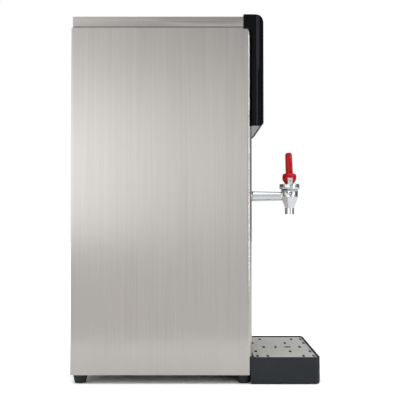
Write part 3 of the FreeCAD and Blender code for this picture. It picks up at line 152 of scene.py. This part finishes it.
class Finish:
    """A material under construction, patterned on Object coordinates."""

    def __init__(self, name, colour, roughness, metallic=0.0, **sockets):
        self.material = bpy.data.materials.new(name)
        self.material.use_nodes = True
        self.tree = self.material.node_tree
        self.shader = self.tree.nodes["Principled BSDF"]
        self.coordinates = self.tree.nodes.new("ShaderNodeTexCoord")
        self.colour = tuple(colour)
        self.shader.inputs["Base Color"].default_value = (*colour, 1)
        self.shader.inputs["Roughness"].default_value = roughness
        self.shader.inputs["Metallic"].default_value = metallic
        for socket, value in sockets.items():
            self.shader.inputs[socket.replace("_", " ")].default_value = value

    def noise(self, scale, stretch=(1, 1, 1), detail=3.0):
        """A noise pattern with scale spots a metre, drawn out where a stretch factor is small."""
        mapping = shader_node(self.tree, "ShaderNodeMapping", Scale=stretch)
        made = shader_node(self.tree, "ShaderNodeTexNoise", Scale=scale, Detail=detail,
                           Roughness=0.55)
        wire(self.tree, self.coordinates, "Object", mapping, "Vector")
        wire(self.tree, mapping, "Vector", made, "Vector")
        return made

    def ramp(self, source, low, high):
        """Maps a pattern's middle range to the range from low to high."""
        made = shader_node(self.tree, "ShaderNodeMapRange", From_Min=PATTERN_LOW,
                           From_Max=PATTERN_HIGH, To_Min=low, To_Max=high)
        wire(self.tree, source, "Fac", made, "Value")
        return made

    def tint(self, source, low, high):
        """Varies the colour between two brightness factors with a pattern."""
        made = self.ramp(source, low, high)
        mix = shader_node(self.tree, "ShaderNodeVectorMath", operation="SCALE")
        mix.inputs[0].default_value = self.colour
        wire(self.tree, made, "Result", mix, "Scale")
        wire(self.tree, mix, "Vector", self.shader, "Base Color")

    def vary_roughness(self, source, low, high):
        """Varies the roughness between two values with a pattern."""
        wire(self.tree, self.ramp(source, low, high), "Result", self.shader, "Roughness")

    def bump(self, source, height, strength=1.0):
        """Raises the surface by a pattern; the height is in metres."""
        made = shader_node(self.tree, "ShaderNodeBump", Strength=strength, Distance=height)
        wire(self.tree, source, "Fac", made, "Height")
        wire(self.tree, made, "Normal", self.shader, "Normal")

    def brushed(self, axis):
        """Draws out the reflections by a tangent that runs round the axis."""
        tangent = shader_node(self.tree, "ShaderNodeTangent", direction_type="RADIAL", axis=axis)
        wire(self.tree, tangent, "Tangent", self.shader, "Tangent")
        self.shader.inputs["Anisotropic"].default_value = BRUSH_ANISOTROPY


def brushed_steel(name, steel, across, axis, painted_shade=1.0):
    """Brushed sheet; across is 0 for the direction in which its lines run and 1 for the others. A
    factor below 1 darkens this copy of the steel all over, as painted shade.
    """
    made = Finish(name, steel.colour, steel.roughness, metallic=1.0)
    lines = made.noise(steel.grain, [max(factor, LINE_STRETCH) for factor in across], detail=6)
    # Painted shade: the factor scales the whole colour of this copy down, on top of the brush lines'
    # own tone
    made.tint(lines, painted_shade * 0.955, painted_shade * 1.045)
    patches = made.noise(60, [max(factor, PATCH_STRETCH) for factor in across], detail=4)
    made.vary_roughness(patches, steel.roughness - 0.03, steel.roughness + 0.03)
    made.bump(lines, height=0.01 * MM, strength=0.35)
    made.brushed(axis)
    return made.material


def rolled_steel(name, colour, roughness=0.38):
    """Plain sheet with faint rolling lines across the width."""
    made = Finish(name, colour, roughness, metallic=1.0)
    lines = made.noise(500, stretch=(0.01, 1, 1), detail=4)
    made.tint(lines, 0.94, 1.05)
    made.vary_roughness(made.noise(40), roughness - 0.04, roughness + 0.05)
    made.bump(lines, height=0.01 * MM, strength=0.25)
    return made.material


def satin_steel(name, colour):
    """Blasted sheet, which shows its own colour more than its surroundings."""
    made = Finish(name, colour, roughness=0.5, metallic=0.35)
    made.tint(made.noise(160, detail=5), 0.95, 1.05)
    made.vary_roughness(made.noise(300), 0.45, 0.55)
    made.bump(made.noise(2400), height=0.02 * MM, strength=0.3)
    return made.material


def polished(name, colour, roughness=0.06):
    """Bright metal with faint wipe marks in its gloss."""
    made = Finish(name, colour, roughness, metallic=1.0)
    made.tint(made.noise(30), 0.96, 1.03)
    made.vary_roughness(made.noise(220, detail=5), roughness * 0.7, roughness * 1.5)
    return made.material


def glossy(name, colour, roughness, **sockets):
    """Gloss plastic whose surface waves slightly, as moulded panels do."""
    made = Finish(name, colour, roughness, **sockets)
    made.tint(made.noise(25), 0.9, 1.1)
    made.vary_roughness(made.noise(90, detail=4), roughness * 0.8, roughness * 1.3)
    made.bump(made.noise(12, detail=1), height=0.2 * MM, strength=0.12)
    return made.material


def grained(name, colour, roughness, **sockets):
    """Moulded plastic or rubber with a fine spark texture."""
    grain = 2600
    made = Finish(name, colour, roughness, **sockets)
    made.tint(made.noise(35), 0.88, 1.12)
    made.vary_roughness(made.noise(grain / 3), roughness - 0.06, roughness + 0.06)
    made.bump(made.noise(grain, detail=2), height=0.06 * MM, strength=0.5)
    return made.material


def soft_fibre(name, colour):
    """Loose fibre, matt and uneven."""
    made = Finish(name, colour, roughness=0.95)
    made.tint(made.noise(700, detail=8), 0.75, 1.15)
    made.bump(made.noise(900, detail=8), height=0.6 * MM)
    return made.material


def dress(material, *nodes):
    """Gives a finish to CAD nodes."""
    for name in nodes:
        mesh = frame["nodes"][name].data
        mesh.materials.clear()
        mesh.materials.append(material)


def smooth_copy(node, body):
    """A copy of a turned or moulded piece, shaded smooth with its sharper edges kept."""
    mesh = frame["nodes"][node].data.copy()
    made = bpy.data.objects.new("smooth_" + node, mesh)
    bpy.context.scene.collection.objects.link(made)
    work = bmesh.new()
    work.from_mesh(mesh)
    bmesh.ops.remove_doubles(work, verts=work.verts, dist=MERGE_DISTANCE)
    for face in work.faces:
        face.smooth = True
    work.to_mesh(mesh)
    work.free()
    mesh.set_sharp_from_angle(angle=SHARP_ANGLE)
    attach(made, body)
    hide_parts(node)
    return made


# Operators, one for each group of pieces

class URN_OT_case(bpy.types.Operator):
    """Dresses the steel case, its lid, rear and feet"""
    bl_idname = "urn.case"
    bl_label = "Case"

    def execute(self, context):
        steel = context.scene.urn_steel
        dress(brushed_steel("brushed case steel", steel, (1, 1, 0), "Z"), "body_shell")
        # The lid is the case's own steel darkened all over by 0.88, as painted shade for how the
        # light falls on it
        dress(brushed_steel("brushed lid steel", steel, (1, 0, 1), "X", painted_shade=0.88), "lid")
        dress(rolled_steel("rear sheet", (0.52, 0.52, 0.51)), "rear_panel", "base_plate",
              "tank_shelf")
        dress(grained("foot rubber", (0.020, 0.023, 0.025), roughness=0.7), "lid_gasket", *FEET)
        dress(rolled_steel("zinc screw steel", (0.56, 0.56, 0.55), roughness=0.3),
              "foot_nuts", "rear_screws", "lid_screws", "fascia_screws", "tap_spring")
        for name in FEET:
            smooth_copy(name, "root")
        return {"FINISHED"}


class URN_OT_moulding(bpy.types.Operator):
    """Dresses the gloss moulding and its controls"""
    bl_idname = "urn.moulding"
    bl_label = "Moulding and controls"

    def execute(self, context):
        plastics = context.scene.urn_plastics
        dress(glossy("gloss black moulding", plastics.moulding, roughness=0.05,
                     Specular_IOR_Level=0.14), "fascia")
        dress(glossy("smoked window", (0.004, 0.004, 0.005), roughness=0.03),
              "display_window")
        dress(glossy("lamp lens", (0.5, 0.03, 0.02), roughness=0.1), "indicator_lights")
        dress(grained("satin key", (0.05, 0.05, 0.055), roughness=0.35), "power_button")
        dress(grained("circuit board", (0.02, 0.16, 0.06), roughness=0.4),
              "display_board", "control_board")
        return {"FINISHED"}


class URN_OT_tap(bpy.types.Operator):
    """Dresses the chrome tap and its red lever"""
    bl_idname = "urn.tap"
    bl_label = "Tap"

    def execute(self, context):
        plastics = context.scene.urn_plastics
        dress(polished("tap chrome", (0.80, 0.84, 0.85)), "tap_body", "shank_washer",
              "tap_bonnet", "tap_stem", "handle_bushes")
        dress(glossy("red lever plastic", plastics.handle, roughness=0.12,
                     Specular_IOR_Level=0.28), "tap_handle")
        dress(polished("brass", (0.70, 0.50, 0.22), roughness=0.2), "handle_pin",
              "shank_nut", "element_terminals", "drain_plug", "water_inlet", "inlet_nut",
              "earth_stud", "inlet_blades")
        smooth_copy("tap_body", "root")
        smooth_copy("tap_bonnet", "root")
        smooth_copy("tap_handle", "handle")
        spring = smooth_copy("tap_spring", "root")
        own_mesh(spring)
        return {"FINISHED"}


class URN_OT_tray(bpy.types.Operator):
    """Dresses the drip tray and its grid"""
    bl_idname = "urn.tray"
    bl_label = "Drip tray"

    def execute(self, context):
        plastics = context.scene.urn_plastics
        dress(grained("tray plastic", plastics.tray, roughness=0.5,
                      Specular_IOR_Level=0.3), "drip_tray")
        dress(satin_steel("grid steel", (0.59, 0.59, 0.56)), "drip_grid")
        return {"FINISHED"}


class URN_OT_inside(bpy.types.Operator):
    """Dresses the tank, pipes and electrical pieces inside"""
    bl_idname = "urn.inside"
    bl_label = "Inside"

    def execute(self, context):
        dress(rolled_steel("tank steel", (0.55, 0.55, 0.54), roughness=0.32), "tank",
              "tank_lid", "heating_element", "level_probes", "temperature_probe",
              "feed_pipe", "drain_pipe", "overflow_pipe")
        dress(grained("silicone", (0.62, 0.60, 0.54), roughness=0.6), "tank_seal", "seat_cup")
        dress(soft_fibre("tank jacket fibre", (0.72, 0.68, 0.55)), "tank_jacket")
        dress(grained("white plastic", (0.7, 0.7, 0.67), roughness=0.45), "inlet_valve",
              "board_standoffs", "terminal_block")
        dress(grained("black plastic", (0.02, 0.02, 0.021), roughness=0.5), "valve_coil",
              "thermal_cutout", "display_posts", "power_inlet")
        return {"FINISHED"}


class URN_OT_stage(bpy.types.Operator):
    """Makes the floor, the lights and the camera"""
    bl_idname = "urn.stage"
    bl_label = "Stage"

    def execute(self, context):
        camera(context.scene.urn_stage)
        floor()
        world()
        lights()
        cards()
        context.scene.view_settings.view_transform = "Standard"
        return {"FINISHED"}


# The stage

def camera(stage):
    """A camera on the urn's left side, level with its lower half and tilted slightly up."""
    case_low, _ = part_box("body_shell")
    data = bpy.data.cameras.new("camera")
    data.lens = stage.lens
    data.sensor_width = SENSOR_WIDTH
    made = bpy.data.objects.new("camera", data)
    bpy.context.scene.collection.objects.link(made)
    made.location = (case_low.x - stage.distance, case_low.y + stage.eye_behind,
                     stage.eye_height)
    made.rotation_euler = (math.pi / 2 + stage.tilt, 0, -math.pi / 2)
    bpy.context.scene.camera = made


def sheet(name, corners):
    """A flat shape of the stage through its corners."""
    mesh = bpy.data.meshes.new(name)
    made = bpy.data.objects.new(name, mesh)
    bpy.context.scene.collection.objects.link(made)
    work = bmesh.new()
    bmesh.ops.contextual_create(work, geom=[work.verts.new(corner) for corner in corners])
    work.to_mesh(mesh)
    work.free()
    return made


def level(low, high, height):
    """The corners of a level rectangle from its low to its high corner."""
    return ((*low, height), (high[0], low[1], height), (*high, height), (low[0], high[1], height))


def upright(x, y, low, high, width):
    """The corners of an upright rectangle that faces the urn's left side, from y to the front."""
    return ((x, y, low), (x, y - width, low), (x, y - width, high), (x, y, high))


def card(name, corners, colour, strength=1.0):
    """A flat shape with a colour of its own, which only glossy pieces show."""
    made = sheet(name, corners)
    made.visible_camera = False
    made.visible_diffuse = False
    made.visible_shadow = False
    made.visible_transmission = False
    finish = bpy.data.materials.new(name)
    finish.use_nodes = True
    tree = finish.node_tree
    tree.nodes.clear()
    output = shader_node(tree, "ShaderNodeOutputMaterial")
    glow = shader_node(tree, "ShaderNodeEmission", Color=(*colour, 1), Strength=strength)
    wire(tree, glow, "Emission", output, "Surface")
    made.data.materials.append(finish)


def cards():
    """Black cards for the chrome's dark lines, white ones for bends, and a grey one on the floor."""
    tap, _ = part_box("tap_body")
    case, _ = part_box("body_shell")
    black = (0.02, 0.02, 0.02)
    grey = (0.70, 0.69, 0.68)
    card("front flag", upright(tap.x - 0.75, tap.y - 0.10, low=0.05, high=0.55, width=0.05),
         black)
    card("upper flag", upright(tap.x - 0.55, tap.y + 0.20, low=0.82, high=1.07, width=0.9),
         black)
    card("high strip", upright(tap.x - 1.0, tap.y + 0.02, low=0.93, high=1.16, width=0.22),
         (0.94, 0.97, 1), strength=1.8)
    card("front strip", upright(tap.x - 1.0, tap.y - 0.95, low=0.02, high=1.4, width=0.20),
         (0.92, 0.96, 1), strength=6)
    card("grey sheet", level((-4.0, -2.5), (case.x - 0.40, 2.5), height=2 * MM), grey)


def floor():
    """A matt floor that keeps the urn's shadow, and looks whiter to the camera than to metal."""
    made = sheet("floor", level((-FLOOR_REACH, -FLOOR_REACH), (FLOOR_REACH, FLOOR_REACH), height=0))
    material = bpy.data.materials.new("white floor")
    material.use_nodes = True
    tree = material.node_tree
    tree.nodes.clear()
    output = shader_node(tree, "ShaderNodeOutputMaterial")
    paper = shader_node(tree, "ShaderNodeBsdfDiffuse")
    path = shader_node(tree, "ShaderNodeLightPath")
    whiteness = choose(tree, path.outputs["Is Camera Ray"], chosen=1.3, other=0.70)
    tree.links.new(whiteness, paper.inputs["Color"])
    wire(tree, paper, "BSDF", output, "Surface")
    made.data.materials.append(material)


def choose(tree, rays, chosen, other):
    """The chosen value for the rays that a Light Path output names, and the other for the rest."""
    made = shader_node(tree, "ShaderNodeMix", data_type="FLOAT")
    tree.links.new(rays, made.inputs["Factor"])
    for name, value in (("A", other), ("B", chosen)):
        if isinstance(value, bpy.types.NodeSocket):
            tree.links.new(value, made.inputs[name])
        else:
            made.inputs[name].default_value = value
    return made.outputs["Result"]


def slope(tree, source, between, brightness):
    """A smooth change from one brightness to the other while the source runs between two values."""
    made = shader_node(tree, "ShaderNodeMapRange", interpolation_type="SMOOTHSTEP",
                       From_Min=between[0], From_Max=between[1],
                       To_Min=brightness[0], To_Max=brightness[1])
    tree.links.new(source, made.inputs["Value"])
    return made.outputs["Result"]


def combine(tree, operation, *sources):
    """One value from several, by a Math node's operation."""
    result = sources[0]
    for source in sources[1:]:
        made = shader_node(tree, "ShaderNodeMath", operation=operation)
        tree.links.new(result, made.inputs[0])
        tree.links.new(source, made.inputs[1])
        result = made.outputs["Value"]
    return result


def world():
    """White to the camera; metal sees a bright band at eye height and a far side dark low down."""
    made = bpy.data.worlds.new("studio")
    bpy.context.scene.world = made
    made.use_nodes = True
    tree = made.node_tree
    background = tree.nodes["Background"]
    path = shader_node(tree, "ShaderNodeLightPath")
    direction = shader_node(tree, "ShaderNodeTexCoord")
    split = shader_node(tree, "ShaderNodeSeparateXYZ")
    tree.links.new(direction.outputs["Generated"], split.inputs["Vector"])

    # Directions as the camera sees them: across towards the urn's rear, along into the picture
    across, along, up = (split.outputs[axis] for axis in "YXZ")

    # Each slope has two directions, as parts of a unit vector, and the brightness at each
    band = combine(tree, "MULTIPLY", slope(tree, up, (-0.14, 0.07), (0.62, 0.85)),
                   slope(tree, up, (0.085, 0.30), (1.0, 0.50)))
    ends = combine(tree, "MULTIPLY", slope(tree, across, (0.03, 0.24), (0.88, 1.98)),
                   slope(tree, across, (-0.98, -0.60), (0.66, 1.0)))
    far_side = combine(tree, "MAXIMUM", slope(tree, along, (-0.35, 0.25), (1.0, 0.27)),
                       slope(tree, up, (0.35, 0.60), (0.0, 1.0)))
    overhead = slope(tree, up, (0.55, 0.85), (1.0, 1.3))
    metal = combine(tree, "MULTIPLY", band, ends, far_side, overhead)
    plain = slope(tree, up, (0.05, 0.55), (0.22, 1.05))

    seen = choose(tree, path.outputs["Is Glossy Ray"], chosen=metal, other=plain)
    shown = choose(tree, path.outputs["Is Camera Ray"], chosen=1.0, other=seen)
    tree.links.new(shown, background.inputs["Strength"])
    background.inputs["Color"].default_value = (1, 1, 1, 1)


def lights():
    """Soft boxes over the urn and at its front, aimed at the case."""
    aim = Vector((0, 0, 0.28))
    for name, place, size, power in (
            ("top box", Vector((-0.5, 0.2, 2.2)), 1.6, 14),
            ("front box", Vector((-0.9, -1.9, 1.5)), 1.2, 6)):
        data = bpy.data.lights.new(name, "AREA")
        data.energy = power
        data.size = size
        made = bpy.data.objects.new(name, data)
        made.location = place
        made.rotation_euler = (aim - place).to_track_quat("-Z", "Y").to_euler()
        bpy.context.scene.collection.objects.link(made)


class URN_PT_panel(bpy.types.Panel):
    """Lists the urn's pieces in the sidebar"""
    bl_idname = "URN_PT_panel"
    bl_label = "Hot water urn"
    bl_space_type = "VIEW_3D"
    bl_region_type = "UI"
    bl_category = "Urn"

    def draw(self, context):
        scene = context.scene
        for group in (scene.urn_steel, scene.urn_plastics, scene.urn_stage):
            for name in group.__annotations__:
                self.layout.prop(group, name)
        for operator in OPERATORS:
            self.layout.operator(operator.bl_idname)


GROUPS = (("urn_steel", UrnSteel), ("urn_plastics", UrnPlastics), ("urn_stage", UrnStage))
OPERATORS = (URN_OT_case, URN_OT_moulding, URN_OT_tap, URN_OT_tray, URN_OT_inside,
             URN_OT_stage)


def register():
    for name, group in GROUPS:
        bpy.utils.register_class(group)
        setattr(bpy.types.Scene, name, PointerProperty(type=group))
    for operator in OPERATORS:
        bpy.utils.register_class(operator)
    bpy.utils.register_class(URN_PT_panel)


def unregister():
    bpy.utils.unregister_class(URN_PT_panel)
    for operator in reversed(OPERATORS):
        bpy.utils.unregister_class(operator)
    for name, group in reversed(GROUPS):
        delattr(bpy.types.Scene, name)
        bpy.utils.unregister_class(group)


def main():
    register()
    bpy.ops.urn.case()
    bpy.ops.urn.moulding()
    bpy.ops.urn.tap()
    bpy.ops.urn.tray()
    bpy.ops.urn.inside()
    bpy.ops.urn.stage()


if __name__ == "__main__":
    main()
